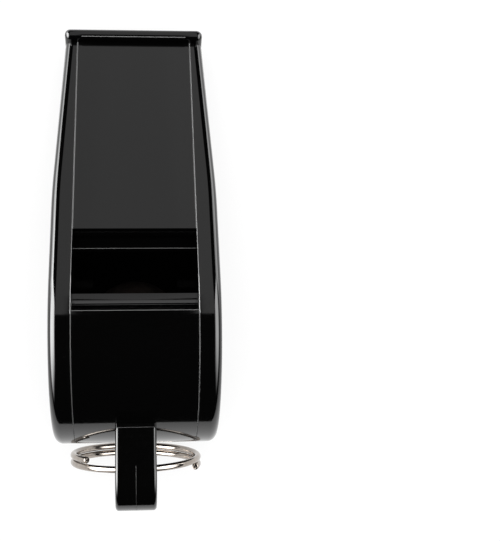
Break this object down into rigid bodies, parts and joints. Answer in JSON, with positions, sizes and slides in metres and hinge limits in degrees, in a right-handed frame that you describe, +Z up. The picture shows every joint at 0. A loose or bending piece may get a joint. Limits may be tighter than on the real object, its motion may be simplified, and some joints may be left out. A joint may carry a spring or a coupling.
{
  "type": "pea whistle",
  "caption": "Moulded plastic pea whistle: a round chamber with a ball, a flat mouthpiece with a rim, a window with a sharp lip, and a lug with a split ring.",
  "frame": {"origin": "on the ground under the middle of the whistle, from the lug's end to the mouth rim, in its natural resting position", "axes": "+X across the width to the right side shell, +Y towards the mouth, +Z up; the whistle lies on the bottom of its barrel and the lower edge of its mouth rim, window side up, mouthpiece tilted 29.4 degrees down"},
  "size_m": [0.018, 0.0546, 0.0254],
  "materials": {
    "moulding": "injection moulded black styrene plastic, polished mould, glossy",
    "pea_cork": "cork ball stained black, dull, finely pitted",
    "ring_wire": "nickel plated spring steel wire, bright, slightly drawn"
  },
  "bodies": {
    "whistle": {"barrel_band": "moulding", "windway_roof": "moulding", "right_side_shell": "moulding", "left_side_shell": "moulding"},
    "pea": {"pea": "pea_cork"},
    "ring": {"split_ring": "ring_wire"}
  },
  "joints": [
    {"name": "pea_orbit", "type": "hinge", "parent": "whistle", "child": "pea", "pos_m": [0, -0.0082, 0.0127], "axis": [1, 0, 0], "continuous": true},
    {"name": "ring_swing", "type": "hinge", "parent": "whistle", "child": "ring", "pos_m": [0, -0.02344, 0.01915], "axis": [1, 0, 0], "range_deg": [-230, 6]}
  ]
}
